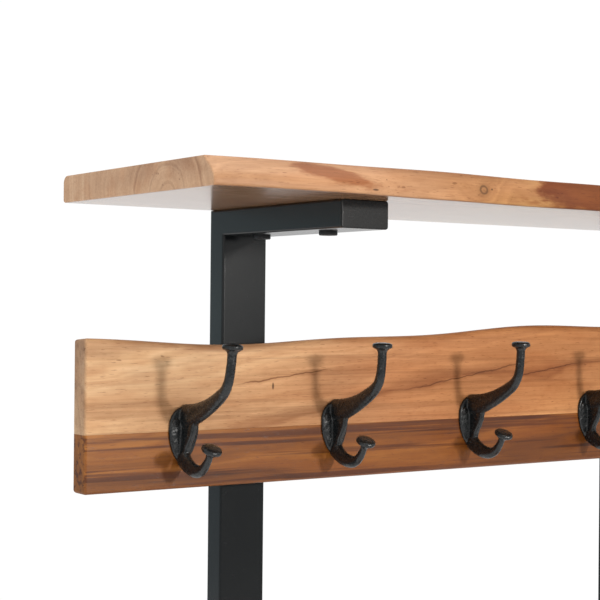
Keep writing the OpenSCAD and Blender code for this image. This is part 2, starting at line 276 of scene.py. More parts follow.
class Paint(Nodes):
    """A material of one Principled shader."""

    def __init__(self, name):
        self.material = bpy.data.materials.new(name)
        self.material.use_nodes = True
        super().__init__(self.material.node_tree)
        self.shader = self.add("BsdfPrincipled", {})
        self.add("OutputMaterial", {"Surface": self.shader.outputs["BSDF"]})
        self.place = self.add("TexCoord", {}).outputs["Object"]

    def set(self, **values):
        for name, value in values.items():
            self.put(self.shader.inputs[name.replace("_", " ")], value)


def floor_material():
    paint = Paint("floor_paper")
    mottle = paint.noise(paint.place, 2.0, 2.0)
    far = paint.between(paint.length(paint.place), 2.2, 6.2)
    paint.set(Base_Color=paint.mix(mottle, (0.86, 0.86, 0.86), (0.88, 0.88, 0.875)), Roughness=0.9,
              Emission_Color=paint.mix(far, (0.0, 0.0, 0.0), (0.55, 0.55, 0.55)), Emission_Strength=1.0)
    return paint.material


def brighter(colour, factor):
    return tuple(min(1.0, factor * c) for c in colour)


class Wood(Paint):
    """Lacquered acacia with its grain along X, whose colour is built up by the lay_ methods."""

    def __init__(self, name, seed):
        super().__init__(name)
        self.seed = seed
        self.shift = self.vector("ADD", self.place, (seed, seed * 1.7, seed * 0.6))
        self.x, self.y, self.z = self.split(self.place)
        self.end = self.attribute("end_grain")
        self.live = self.attribute("live_face")
        self.patch = self.grain(4.0, 22.0, 3.0)
        self.fibre = self.grain(16.0, 560.0, 3.0, 0.6)
        self.pore = self.between(self.grain(90.0, 1300.0, 1.0, 0.5), 0.64, 0.72)
        self.ragged = self.times(self.minus(self.grain(45.0, 150.0, 3.0), 0.5), 1.3)
        self.shiver = self.times(self.minus(self.grain(60.0, 60.0, 2.0), 0.5), 5 * MM)
        self.colour = None

    def grain(self, along, across, detail=2.0, roughness=0.55, colour=False):
        """Noise with its own scale along and across the grain."""
        stretched = self.vector("MULTIPLY", self.shift, (along, across, across))
        return self.noise(stretched, 1.0, detail, roughness, colour)

    def wobble(self, along, across, roughness, reach):
        """A sideways push that varies from place to place."""
        cloud = self.grain(along, across, 2.0, roughness, colour=True)
        centred = self.vector("SUBTRACT", cloud, (0.5, 0.5, 0.5))
        return self.vector("MULTIPLY", centred, (0, reach, reach))

    def distance(self, place, scales):
        """How far each point is from a place, with a scale for each direction."""
        offset = self.vector("SUBTRACT", self.place, place)
        return self.length(self.vector("MULTIPLY", offset, scales))

    def stain(self, mask, tint, strength=1.0):
        """Multiplies the colour by a tint where the mask is 1."""
        self.colour = self.mix(self.times(mask, strength), self.colour, tint, "MULTIPLY")

    def ring_radius(self, pith, drift, knots):
        """Distance from the pith line, which wavers and is pushed aside by knots."""
        bent = self.vector("ADD", self.wobble(1.6, 9.0, 0.5, 0.035), self.wobble(9.0, 60.0, 0.6, 0.006))
        _, bent_y, bent_z = self.split(bent)
        axis_y = self.plus(self.times(self.x, drift[0]), pith[0])
        axis_z = self.plus(self.times(self.x, drift[1]), pith[1])
        ring_y = self.minus(self.plus(self.y, bent_y), axis_y)
        ring_z = self.minus(self.plus(self.z, bent_z), axis_z)
        radius = self.length(self.join(0.0, ring_y, ring_z))
        for x, y, z, size in knots:
            push = self.within(self.distance((x, y, z), (0.5, 1.0, 1.0)), 0.0, size * 5.0)
            radius = self.plus(radius, self.times(push, size * 1.5))
        return radius

    def lay_rings(self, radius, palette, contrast, lines):
        late, heart, pale = palette
        broad = self.bands(self.plus(radius, self.seed), 45.0)
        narrow = self.bands(self.plus(radius, self.seed), 240.0)
        tone = self.plus(self.times(broad, 0.6), self.times(narrow, 0.4))
        tone = self.plus(self.times(self.minus(tone, 0.5), contrast), 0.5)
        between = tuple((2 * h + dark) / 3 for h, dark in zip(heart, late))
        rings = self.ramp(tone, [(0.26, late), (0.40, between), (0.52, heart), (0.70, pale)])
        self.colour = self.mix(self.times(self.end, 0.5), rings, heart)
        for line in lines:
            gap = self.size_of(self.minus(radius, line))
            self.stain(self.within(gap, 0.2 * MM, 2.2 * MM), (0.66, 0.58, 0.52), 0.55)

    def lay_tints(self, tints):
        """Colour that drifts along the plank, with redder patches. A ramp's colours stop at 1."""
        span = shelf_high.x - shelf_low.x
        wander = self.times(self.minus(self.patch, 0.5), 0.35)
        share = self.plus(self.math("DIVIDE", self.minus(self.x, shelf_low.x), span), wander)
        stops = [((x - shelf_low.x) / span, brighter(tint, 1 / BRIGHTEST_TINT)) for x, tint in tints]
        self.stain(1.0, self.ramp(share, stops))
        self.stain(1.0, (BRIGHTEST_TINT, BRIGHTEST_TINT, BRIGHTEST_TINT))
        self.stain(self.between(self.grain(7.0, 45.0, 3.0), 0.46, 0.66), (0.84, 0.68, 0.56), 0.4)

    def lay_blush(self, x, z, half_x, half_z, slope):
        """A red patch on a face that looks forwards."""
        u = self.minus(self.x, x)
        v = self.minus(self.minus(self.z, z), self.times(u, slope))
        far = self.length(self.join(self.math("DIVIDE", u, half_x), self.math("DIVIDE", v, half_z), 0.0))
        mask = self.within(self.plus(far, self.ragged), 0.6, 1.15)
        self.stain(self.times(mask, self.live), (0.58, 0.38, 0.26), 0.95)

    def lay_fibres(self, stripes):
        """Dark stripes, fibres, curl, pores and short flecks along the grain."""
        self.stain(self.between(self.grain(2.2, 150.0, 3.0, 0.6), 0.50, 0.62), (0.36, 0.26, 0.20), stripes)
        self.stain(self.between(self.fibre, 0.35, 0.75), (0.62, 0.52, 0.44), 0.34)
        self.stain(self.between(self.grain(70.0, 110.0, 3.0, 0.6), 0.40, 0.70), (0.78, 0.66, 0.56), 0.22)
        self.stain(self.pore, (0.40, 0.27, 0.19), 0.55)
        self.stain(self.between(self.grain(60.0, 190.0, 1.0, 0.5), 0.75, 0.80), (0.34, 0.20, 0.12), 0.6)

    def lay_crack(self, x_from, x_to, z_middle, slope):
        """A thin dark line that shivers, in a softer brown halo."""
        middle, half = (x_from + x_to) / 2, (x_to - x_from) / 2
        run = self.minus(self.x, middle)
        line = self.plus(self.plus(self.times(run, slope), z_middle), self.shiver)
        gap = self.size_of(self.minus(self.z, line))
        reach = self.within(self.size_of(run), half * 0.6, half)
        self.stain(self.times(self.within(gap, 0.1 * MM, 1.0 * MM), reach), (0.28, 0.18, 0.12), 0.75)
        self.stain(self.times(self.within(gap, 0.0, 4 * MM), reach), (0.66, 0.52, 0.42), 0.35)

    def lay_knot(self, x, y, z, size):
        """A dark ring with a dark core, in a dull halo."""
        far = self.distance((x, y, z), (0.75, 1.0, 1.0))
        far = self.plus(far, self.times(self.ragged, size * 0.35))
        rim = self.within(self.size_of(self.minus(far, size * 0.8)), 0.0, size * 0.35)
        core = self.within(far, 0.0, size * 0.35)
        self.stain(self.within(far, size * 0.8, size * 2.2), (0.55, 0.50, 0.42), 0.45)
        dark = self.times(self.math("MAXIMUM", rim, core), 0.8)
        self.colour = self.mix(dark, self.colour, (0.10, 0.045, 0.018))

    def lay_nick(self, x, y, z, half_x, half_z):
        """A small dark hole."""
        far = self.distance((x, y, z), (1 / half_x, 12.0, 1 / half_z))
        far = self.plus(far, self.times(self.ragged, 0.5))
        mask = self.times(self.within(far, 0.6, 1.2), 0.85)
        self.colour = self.mix(mask, self.colour, (0.075, 0.030, 0.014))

    def lacquer(self, gloss, end_tint):
        """Sawn ends drink more finish, the natural edge is greyer, and the underside shines more and is
        darkened with painted shade.
        """
        under = self.attribute("underside")
        self.stain(self.end, end_tint)
        bark = self.times(self.attribute("bark_edge"), self.between(self.patch, 0.34, 0.60))
        self.stain(bark, (0.56, 0.49, 0.47))
        # painted shade: the underside's colour is darkened as if it lay in shadow
        self.stain(under, (0.60, 0.58, 0.56))
        satin = self.times(self.math("MAXIMUM", self.end, self.live), 0.25)
        roughness = self.plus(self.plus(self.times(self.fibre, 0.10), gloss), satin)
        normal = self.bump(self.fibre, 0.025 * MM, 0.5)
        normal = self.bump(self.minus(1.0, self.pore), 0.05 * MM, 0.6, normal)
        normal = self.bump(self.grain(6.0, 22.0, 1.0), 0.35 * MM, 0.7, normal)
        self.set(Base_Color=self.colour, Roughness=roughness, Normal=normal, IOR=1.47,
                 Specular_IOR_Level=self.minus(0.5, self.times(self.live, 0.25)),
                 Coat_Weight=self.times(under, 0.4), Coat_Roughness=0.12, Coat_IOR=1.47)


def wood(slot, name, pith, drift, palette, tints, seed, gloss=0.17, end_tint=(0.75, 0.80, 0.88),
         contrast=1.0, stripes=0.0, lines=(), knots=(), blushes=(), cracks=(), nicks=()):
    """The finish of one plank. Rings run round a pith line beside it.

    pith is that line's (y, z); drift is how far it moves in (y, z) per metre of X.
    palette is latewood, heartwood and pale wood. tints is (x, colour) pairs laid along the plank.
    lines is radii of single dark rings. A knot is (x, y, z, radius); a blush is (x, z, half
    length, half height, slope); a crack is (x from, x to, z at the middle, slope); a nick is
    (x, y, z, half length, half height).
    """
    plank = Wood(name, seed)
    radius = plank.ring_radius(pith, drift, knots)
    plank.lay_rings(radius, palette, contrast, lines)
    plank.lay_tints(tints)
    for blush in blushes:
        plank.lay_blush(*blush)
    plank.lay_fibres(stripes)
    for crack in cracks:
        plank.lay_crack(*crack)
    for knot in knots:
        plank.lay_knot(*knot)
    for nick in nicks:
        plank.lay_nick(*nick)
    plank.lacquer(gloss, end_tint)
    return plank.material, slot


def powder_coat(slot, name, colour, roughness):
    """Paint baked on steel: a fine orange peel, faint dust and slightly uneven gloss."""
    paint = Paint(name)
    peel = paint.noise(paint.place, 900.0, 2.0, 0.6)
    cloud = paint.noise(paint.place, 7.0, 3.0, 0.6)
    dust = paint.between(paint.noise(paint.place, 420.0, 1.0), 0.70, 0.78)
    tone = paint.mix(cloud, brighter(colour, 0.85), brighter(colour, 1.2))
    tone = paint.mix(paint.times(dust, 0.15), tone, (0.06, 0.06, 0.06))
    gloss = paint.plus(paint.times(cloud, 0.10), roughness - 0.05)
    paint.set(Base_Color=tone, Roughness=gloss, IOR=1.45, Specular_IOR_Level=0.42,
              Normal=paint.bump(peel, 0.03 * MM, 0.4))
    return paint.material, slot


def cast_iron(slot, name):
    """Rough black casting: pitted skin, glossy high spots, and painted highlights: pale grey glints along
    the web's foot and in scattered spots.
    """
    paint = Paint(name)
    pits = paint.noise(paint.place, 420.0, 3.0, 0.65)
    lumps = paint.noise(paint.place, 130.0, 2.0, 0.5)
    glint_spots = paint.between(paint.noise(paint.place, 330.0, 3.0, 0.7), 0.60, 0.70)
    painted_glint = paint.times(glint_spots, paint.attribute("painted_highlight"))
    tone = paint.mix(lumps, (0.0022, 0.0031, 0.0036), (0.0066, 0.0084, 0.0094))
    # painted highlight: pale grey glints laid on the black, strongest at the web's foot
    tone = paint.mix(paint.times(painted_glint, 0.5), tone, (0.085, 0.086, 0.084))
    gloss = paint.plus(paint.times(pits, 0.30), 0.14)
    skin = paint.bump(pits, 0.22 * MM, 0.45)
    paint.set(Base_Color=tone, Roughness=gloss, IOR=1.5, Specular_IOR_Level=0.52,
              Normal=paint.bump(lumps, 0.45 * MM, 0.5, skin))
    return paint.material, slot


def metal(slot, name, colour, roughness, metallic=1.0):
    """Plated or oxidised hardware with fine turning marks and stains."""
    paint = Paint(name)
    marks = paint.noise(paint.vector("MULTIPLY", paint.place, (1.0, 1.0, 6.0)), 300.0, 3.0, 0.7)
    stain = paint.noise(paint.place, 60.0, 3.0, 0.6)
    tone = paint.mix(stain, brighter(colour, 0.75), brighter(colour, 1.1))
    gloss = paint.plus(paint.times(marks, 0.22), roughness - 0.11)
    paint.set(Base_Color=tone, Roughness=gloss, Metallic=metallic, Normal=paint.bump(marks, 0.03 * MM, 0.5))
    return paint.material, slot


def moulded_plastic(slot, name, colour, roughness):
    """Spark-eroded mould texture on black plastic, with a few pale scuffs, and a paler grey painted
    highlight where a mesh marks one.
    """
    paint = Paint(name)
    texture = paint.noise(paint.place, 1300.0, 2.0, 0.6)
    cloud = paint.noise(paint.place, 45.0, 3.0, 0.6)
    streaks = paint.noise(paint.vector("MULTIPLY", paint.place, (1.0, 1.0, 7.0)), 160.0, 2.0, 0.6)
    scuff = paint.between(streaks, 0.66, 0.74)
    tone = paint.mix(cloud, brighter(colour, 0.8), brighter(colour, 1.25))
    tone = paint.mix(paint.times(scuff, 0.12), tone, (0.30, 0.30, 0.30))
    # painted highlight: paler grey on the edge roundings that the end cap marks
    tone = paint.mix(paint.times(paint.attribute("painted_highlight"), 0.5), tone, (0.30, 0.30, 0.30))
    gloss = paint.plus(paint.times(texture, 0.08), roughness - 0.04)
    paint.set(Base_Color=tone, Roughness=gloss, IOR=1.47, Specular_IOR_Level=0.33,
              Normal=paint.bump(texture, 0.02 * MM, 0.12))
    return paint.material, slot


# ---- mesh helpers ----


def add_ring(bm, points):
    return [bm.verts.new(point) for point in points]


def bridge(bm, ring_a, ring_b):
    """Quads between two closed rings of the same length."""
    count = len(ring_a)
    for i in range(count):
        j = (i + 1) % count
        bm.faces.new((ring_a[i], ring_a[j], ring_b[j], ring_b[i]))


def loft(bm, rings):
    """A closed skin over a row of rings, with flat ends."""
    rows = [add_ring(bm, ring) for ring in rings]
    for first, second in zip(rows, rows[1:]):
        bridge(bm, first, second)
    bm.faces.new(rows[0])
    bm.faces.new(rows[-1])


def rounded_loop(corners, inset=0.0):
    """A polygon, anticlockwise, with rounded corners, moved inwards by inset.

    A corner is (u, v, radius, steps, moves): moves is 0 where the edge after it stays put.
    """
    count = len(corners)
    lines = []
    for i, (u, v, _, _, moves) in enumerate(corners):
        following = corners[(i + 1) % count]
        along = Vector((following[0] - u, following[1] - v)).normalized()
        inward = Vector((-along.y, along.x))
        lines.append((Vector((u, v)) + inward * inset * moves, along))
    points = []
    for i, (_, _, radius, steps, _) in enumerate(corners):
        (p, d), (q, e) = lines[i - 1], lines[i]
        cross = d.x * e.y - d.y * e.x
        gap = q - p
        corner = p + d * ((gap.x * e.y - gap.y * e.x) / cross) if abs(cross) > 1e-6 else q
        if steps == 0:
            points.append(corner)
            continue
        radius = max(radius - inset, 0.15 * MM)
        half = math.acos(max(-1.0, min(1.0, d.dot(e)))) / 2
        start = corner - d * radius * math.tan(half)
        inward = Vector((-d.y, d.x))
        centre = start + inward * radius
        for k in range(steps + 1):
            a = 2 * half * k / steps
            points.append(centre + radius * (d * math.sin(a) - inward * math.cos(a)))
    return points


def place_piece(name, mesh, finish, node, body="frame", sharp=35):
    """Puts a finished mesh into the scene as the piece that stands for a CAD node."""
    material, slot = finish
    mesh.shade_smooth()
    mesh.set_sharp_from_angle(angle=math.radians(sharp))
    mesh.materials.clear()
    mesh.materials.append(material)
    piece = bpy.data.objects.new(name, mesh)
    bpy.context.scene.collection.objects.link(piece)
    weighted = piece.modifiers.new("flat_faces_first", "WEIGHTED_NORMAL")
    weighted.keep_sharp = True
    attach(piece, body)
    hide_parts(node)
    return piece


def mark(mesh, name, value_at):
    """Stores a number from 0 to 1 on each vertex, for a material to read."""
    values = [value_at(vertex) for vertex in mesh.vertices]
    attribute = mesh.attributes.new(name, "FLOAT", "POINT")
    for item, value in zip(attribute.data, values):
        item.value = max(0.0, min(1.0, value))


def mesh_from(name, bm):
    bmesh.ops.recalc_face_normals(bm, faces=bm.faces)
    mesh = bpy.data.meshes.new(name)
    bm.to_mesh(mesh)
    bm.free()
    return mesh


def millimetres(rings):
    """A table of (radius, height) in millimetres, turned into metres."""
    return [(radius * MM, height * MM) for radius, height in rings]


def turned(bm, rings, sides, place):
    """A shape turned about local Z. A ring is (radius or a function of the angle, height)."""
    rows = []
    for radius, height in rings:
        ring = []
        for k in range(sides):
            a = 2 * math.pi * k / sides
            r = radius(a, height) if callable(radius) else radius
            ring.append(place @ Vector((r * math.cos(a), r * math.sin(a), height)))
        rows.append(ring)
    loft(bm, rows)


def hexagon(apothem):
    """Radius of a hexagon at an angle."""
    return lambda a, _: apothem / math.cos((a + math.pi / 6) % (math.pi / 3) - math.pi / 6)


def cross_slot(half_width, reach):
    """Radius of a plus sign at an angle."""
    def radius(a, _):
        c, s = abs(math.cos(a)), abs(math.sin(a))
        big, small = max(c, s), min(c, s)
        return min(reach / big, half_width / max(small, 1e-4))
    return radius


# ---- wood ----

END_STEPS = 4  # rings that round a plank's end
STATIONS = 150  # sections along a plank
GLUED = 0.15 * MM  # rounding of an edge that meets the next stave
EDGE_GAP = 0.6 * MM  # room left for the unevenness of a natural edge
SHELF_EDGE = 1.5 * MM
SEAT_EDGE = 2.4 * MM
BOARD_EDGE = 3.2 * MM


def line_through(values):
    """A function of X through a table of values by X."""
    xs = sorted(values)
    ys = [values[x] for x in xs]
    return lambda x: float(np.interp(x, xs, ys))


def live_edge(node, axis, sign):
    """How far a CAD slab reaches at each X, read from its own outline."""
    low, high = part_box(node)
    limit = high[axis] if sign > 0 else low[axis]
    reach = {}
    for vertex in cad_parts[node].data.vertices:
        value = vertex.co[axis]
        if abs(value - limit) > 32 * MM:
            continue
        x = round(vertex.co.x, 4)
        if x not in reach or sign * value > sign * reach[x]:
            reach[x] = value
    return line_through(reach)


def slab(name, node, corners_at, edge, finish):
    """A plank along X. corners_at(x) gives its YZ section, and edge rounds its two ends."""
    low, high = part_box(node)
    x_low, x_high = low.x, high.x
    sections = []
    for k in range(END_STEPS + 1):
        a = math.pi / 2 * k / END_STEPS
        sections.append((x_low + edge * (1 - math.cos(a)), edge * (1 - math.sin(a))))
    inner = [x_low + edge + (x_high - x_low - 2 * edge) * k / STATIONS for k in range(1, STATIONS)]
    right = [(x_low + x_high - x, inset) for x, inset in reversed(sections)]
    sections += [(x, 0.0) for x in inner] + right
    bm = bmesh.new()
    rings = []
    for x, inset in sections:
        rings.append([Vector((x, p.x, p.y)) for p in rounded_loop(corners_at(x), inset)])
    loft(bm, rings)
    mesh = mesh_from(name, bm)
    mark(mesh, "end_grain", lambda v: 1.0 - min(v.co.x - x_low, x_high - v.co.x) / (0.8 * edge))
    return place_piece(name, mesh, finish, node)


def mark_bark(piece, measure, depth):
    """Marks how near each point is to the natural edge, and which points face forwards."""
    mark(piece.data, "bark_edge", lambda v: 1.0 - measure(v.co) / depth)
    mark(piece.data, "live_face", lambda v: -1.6 * v.normal.y)


def uneven(x, height, size, seed):
    """A smooth small unevenness along a natural edge."""
    return size * noise.noise(Vector((x * 9.0, height * 60.0, seed)))


def make_top_shelf():
    reach = live_edge("top_shelf", 1, -1)
    bottom, top, rear = shelf_low.z, shelf_high.z, shelf_high.y
    thick = top - bottom
    upper = {}
    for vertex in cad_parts["top_shelf"].data.vertices:
        if vertex.co.z > top - MM and vertex.co.y < 0:
            upper[round(vertex.co.x, 4)] = vertex.co.y
    top_line = line_through(upper)

    def corners(x):
        low = reach(x) + EDGE_GAP
        back = top_line(x) + EDGE_GAP - low
        rows = []
        for t in (0.86, 0.7, 0.54, 0.38, 0.22):
            slant = back * max(0.0, (t - 0.3) / 0.7) ** 1.4
            dent = abs(uneven(x, t * thick, 1.3 * MM, 3.0))
            rows.append((low + slant + dent, bottom + t * thick, 0, 0, 1))
        return [(low, bottom, 2.0 * MM, 3, 1), (rear, bottom, 3 * MM, 4, 1), (rear, top, 7 * MM, 6, 1),
                (low + back, top, 1.8 * MM, 3, 1)] + rows

    def from_edge(p):
        return abs(p.z - top) + max(0.0, p.y - top_line(p.x) - 4 * MM)

    piece = slab("shelf_slab", "top_shelf", corners, SHELF_EDGE, SHELF_WOOD)
    mark_bark(piece, from_edge, 5 * MM)
    # the underside mask: painted shade in the finish's colour, and a clear coat
    mark(piece.data, "underside", lambda v: float(v.co.z < bottom + 0.3 * MM))


def make_upper_stave():
    crest = live_edge("hook_board_upper_stave", 2, 1)
    front, rear, seam = stave_low.y, stave_high.y, stave_low.z

    def corners(x):
        top = crest(x) - 0.2 * MM
        broad = min(1.0, max(0.0, (x - stave_low.x) / 0.20))
        drop = (4.0 + 5.0 * broad) * MM + uneven(x, 0.0, 3.0 * MM, 8.0) * broad
        back = (3.5 + 4.0 * broad) * MM
        rows = []
        for k in range(9):
            a = math.pi / 2 * k / 8
            rows.append((front + back * (1 - math.sin(a)), top - drop * (1 - math.cos(a)), 0, 0, 1))
        return [(front, seam, GLUED, 1, 0), (rear, seam, GLUED, 1, 1),
                (rear, top - 1.5 * MM, 2.5 * MM, 3, 1)] + rows

    piece = slab("upper_stave", "hook_board_upper_stave", corners, BOARD_EDGE, LIGHT_WOOD)
    mark_bark(piece, lambda p: max(0.0, crest(p.x) - p.z - 5.0 * MM), 4.5 * MM)


def make_lower_stave():
    front, rear, bottom, seam = board_low.y, board_high.y, board_low.z, board_high.z

    def corners(_):
        return [(front, bottom, 3.4 * MM, 4, 1), (rear, bottom, 3.4 * MM, 4, 1),
                (rear, seam, GLUED, 1, 0), (front, seam, GLUED, 1, 1)]

    slab("lower_stave", "hook_board_lower_stave", corners, BOARD_EDGE, DARK_WOOD)


def make_seat_front():
    low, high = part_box("seat_front_stave")
    reach = live_edge("seat_front_stave", 1, -1)
    bottom, top = low.z, high.z
    thick = top - bottom

    def corners(x):
        edge = reach(x) + EDGE_GAP
        rows = []
        for t in (0.85, 0.65, 0.45, 0.25):
            dent = abs(uneven(x, t * thick, 2.4 * MM, 5.0))
            rows.append((edge + 5 * MM * t * t + dent, bottom + t * thick, 0, 0, 1))
        return [(edge, bottom, 2.5 * MM, 3, 1), (high.y, bottom, GLUED, 1, 0),
                (high.y, top, GLUED, 1, 1), (edge + 6.5 * MM, top, 3 * MM, 4, 1)] + rows

    def from_edge(p):
        return abs(p.z - top) + max(0.0, p.y - reach(p.x) - 9 * MM)

    piece = slab("seat_front", "seat_front_stave", corners, SEAT_EDGE, SEAT_LIGHT_WOOD)
    mark_bark(piece, from_edge, 6 * MM)


def make_straight_stave(name, finish, last):
    """A seat stave between two glue lines or, if last, with a soft rear edge."""
    low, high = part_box(name + "_stave")
    soft, steps = (3.0 * MM, 4) if last else (GLUED, 1)

    def corners(_):
        return [(low.y, low.z, GLUED, 1, 1), (high.y, low.z, soft, steps, 1 if last else 0),
                (high.y, high.z, soft, steps, 1), (low.y, high.z, GLUED, 1, 0)]

    slab(name, name + "_stave", corners, SEAT_EDGE, finish)


# ---- tube frame ----

TUBE_CORNER = 2.6 * MM
TUBE_WALL = 1.5 * MM
CAP_FACE = ((1.0, 0.0), (0.5, 0.15), (0.15, 0.5), (0.0, 1.0), (0.0, 2.5), (1.6, 2.5))  # inset, depth


def tube_profile(width, height, inset):
    """Rounded rectangle about the origin, moved inwards by inset."""
    u, v = width / 2, height / 2
    corners = [(-u, -v), (u, -v), (u, v), (-u, v)]
    return rounded_loop([(a, b, TUBE_CORNER, 5, 1) for a, b in corners], inset)


def make_tube(node, along, low_slope, high_slope):
    """A hollow tube in a CAD node's box. A slope of 1 or -1 mitres that end at 45 degrees."""
    low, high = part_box(node)
    across = 3 - along            # 1 and 2 swap: the other direction in the side frame's plane
    middle = (low + high) / 2
    width, height = high.x - low.x, high[across] - low[across]
    bm = bmesh.new()

    def ring(inset, end, slope):
        points = []
        for p in tube_profile(width, height, inset):
            point = Vector((middle.x + p.x, 0, 0))
            point[across] = middle[across] + p.y
            point[along] = end + slope * p.y - abs(slope) * height / 2 * (1 if end > middle[along] else -1)
            points.append(point)
        return points

    ends = ((0.0, low[along], low_slope), (0.0, high[along], high_slope),
            (TUBE_WALL, high[along], high_slope), (TUBE_WALL, low[along], low_slope))
    rows = [add_ring(bm, ring(*end)) for end in ends]
    for i in range(4):
        bridge(bm, rows[i], rows[(i + 1) % 4])
    name = node + "_tube"
    place_piece(name, mesh_from(name, bm), STEEL, node, sharp=40)


def make_end_cap(node):
    """Plug with a rounded face plate, closing the front end of a shelf arm."""
    low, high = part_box(node)
    middle = (low + high) / 2
    width, height = high.x - low.x, high.z - low.z
    depth = (high.y - low.y) / MM
    layers = CAP_FACE + ((TUBE_WALL / MM + 0.1, depth - 2), (TUBE_WALL / MM + 0.9, depth))
    rings = []
    for inset, y in layers:
        profile = tube_profile(width, height, inset * MM)
        rings.append([Vector((middle.x + p.x, low.y + y * MM, middle.z + p.y)) for p in profile])
    bm = bmesh.new()
    loft(bm, rings)
    name = node + "_plug"
    mesh = mesh_from(name, bm)

    def painted_highlight_on_rim(vertex):
        """Painted highlight on the rounding at the left and right of the face."""
        if not 0.05 * MM < vertex.co.y - low.y < 0.3 * MM:
            return 0.0
        return abs(vertex.normal.x) * 1.6 - 0.4

    mark(mesh, "painted_highlight", painted_highlight_on_rim)
    place_piece(name, mesh, CAP_PLASTIC, node)


def make_side_frames():
    for side in ("left", "right"):
        make_tube("post_" + side, 2, -1, 1)
        make_tube("shelf_arm_" + side, 1, 0, 1)
        make_tube("seat_bearer_" + side, 1, -1, 0)
        make_tube("front_leg_" + side, 2, 1, -1)
        make_tube("floor_runner_" + side, 1, 1, -1)
        make_end_cap("arm_end_cap_" + side)


# ---- hooks ----

HOOKS = 5
LYING = Matrix.Rotation(math.pi / 2, 4, "X")  # turns up into forwards

# all in millimetres, about the hook's own place on the board: out from it, and up
# a prong is its start, its heading in degrees, and bends of (radius, degrees)
UPPER_PRONG = ((3.0, 11.2), 9, ((160.5, 24), (26, 47), (130, 9)))
LOWER_PRONG = ((3, -25.2), -46, ((38.2, 46), (19, 50), (60, 6), (35, 8)))
UPPER_THICKNESS = (12.6, 6.2, 4.4, 3.4)  # half height and width at the root, stem, flare
LOWER_THICKNESS = (9.4, 5.8, 3.4, 2.6)
CAP_PROFILE = ((1.4, 5.0), (2.8, 6.2), (3.8, 8.3), (4.3, 9.3), (4.9, 9.8), (6.9, 9.8), (7.7, 9.4),
               (8.6, 8.4), (9.1, 6.4), (9.4, 3.0))
WEB_SIDE = ((1, -34), (6, -31), (11, -24), (12.5, -17), (17, -10), (20.5, -3), (22, 4), (28, 11),
            (22, 17.5), (1, 15.5))
WEB_LAYERS = ((-3.9, 0.30), (-3.6, 0.82), (-3.0, 0.94), (-1.8, 1.0), (1.8, 1.0), (3.0, 0.94),
              (3.6, 0.82), (3.9, 0.30))
WEB_FOOT = 4.4  # how far from the middle the web meets the plate
PLATE_HALF_WIDTH = 16
PLATE_MIDDLE = 2
PLATE_RISE = 19.5
PLATE_DROP = 35
PLATE_POINTS = 72
PLATE_TAPER = 1.35  # over 1 pinches the lower half to a point
PLATE_LAYERS = ((0, 0.0), (0, 1.6), (0.5, 2.5), (1.4, 3.0), (6.0, 3.5), (11.0, 4.0))
SCREW_SIDE = 9.5
SCREW_RISE = 6
SCREW_RINGS = ((2.9, 4.66), (3.4, 4.35), (3.8, 3.9), (4.0, 3.3), (3.9, 3.05), (2.0, 3.05),
               (2.0, -16), (0.2, -19.8))


def bent_line(start, heading, bends, steps=7):
    """Middle line of a chain of bends, each (radius, degrees): (out, up, heading) per ring."""
    out, up = start
    a = math.radians(heading)
    line = []
    for radius, degrees in bends:
        centre = (out - radius * math.sin(a), up + radius * math.cos(a))
        turn = math.radians(degrees)
        for k in range(steps):
            b = a + turn * k / steps
            line.append((centre[0] + radius * math.sin(b), centre[1] - radius * math.cos(b), b))
        a += turn
        out, up = centre[0] + radius * math.sin(a), centre[1] - radius * math.cos(a)
    line.append((out, up, a))
    return line


def bar_ring(out, up, heading, half_height, half_width, sides=28):
    """Oval ring round a bar: local X is sideways, -Y is out from the board."""
    ring = []
    for k in range(sides):
        a = 2 * math.pi * k / sides
        rise = half_height * math.sin(a)
        ring.append(Vector((half_width * math.cos(a), -(out - rise * math.sin(heading)),
                            up + rise * math.cos(heading))) * MM)
    return ring


def add_prong(bm, prong, thickness):
    root_height, root_width, stem, flare = thickness
    line = bent_line(*prong)
    rings = []
    for i, (out, up, heading) in enumerate(line):
        left = 1 - i / (len(line) - 1)
        rings.append(bar_ring(out, up, heading, stem + (root_height - stem) * left ** flare,
                              stem + (root_width - stem) * left ** flare))
    out, up, heading = line[-1]
    for ahead, radius in CAP_PROFILE:
        tip = (out + ahead * math.cos(heading), up + ahead * math.sin(heading))
        rings.append(bar_ring(*tip, heading, radius, radius))
    loft(bm, rings)


def plate_outline(inset):
    """Screw plate's outline, sideways and up: an oval top and a pointed lower half."""
    points = []
    for k in range(PLATE_POINTS):
        a = 2 * math.pi * k / PLATE_POINTS
        across, rise = math.cos(a), PLATE_RISE
        if math.sin(a) < 0:
            across = math.copysign(abs(across) ** PLATE_TAPER, across)
            rise = PLATE_DROP
        points.append(Vector(((PLATE_HALF_WIDTH - inset) * across,
                              PLATE_MIDDLE + (rise - inset) * math.sin(a))))
    return points


def hook_casting():
    """One hook about its own place on the board, remeshed so that its parts flow together."""
    bm = bmesh.new()
    plate = []
    for inset, out in PLATE_LAYERS:
        plate.append([Vector((p.x, -out, p.y)) * MM for p in plate_outline(inset)])
    web = []
    for x, share in WEB_LAYERS:
        web.append([Vector((x, -out * share, up)) * MM for out, up in WEB_SIDE])
    loft(bm, plate)
    add_prong(bm, UPPER_PRONG, UPPER_THICKNESS)
    add_prong(bm, LOWER_PRONG, LOWER_THICKNESS)
    loft(bm, web)
    mesh = mesh_from("hook_blank", bm)
    blank = bpy.data.objects.new("hook_blank", mesh)
    bpy.context.scene.collection.objects.link(blank)
    remesh = blank.modifiers.new("flow", "REMESH")
    remesh.mode = "VOXEL"
    remesh.voxel_size = 0.7 * MM
    smooth = blank.modifiers.new("fillets", "SMOOTH")
    smooth.factor = 0.6
    smooth.iterations = 6
    finished = blank.evaluated_get(bpy.context.evaluated_depsgraph_get())
    shape = bpy.data.meshes.new_from_object(finished)
    bpy.data.objects.remove(blank)
    return shape


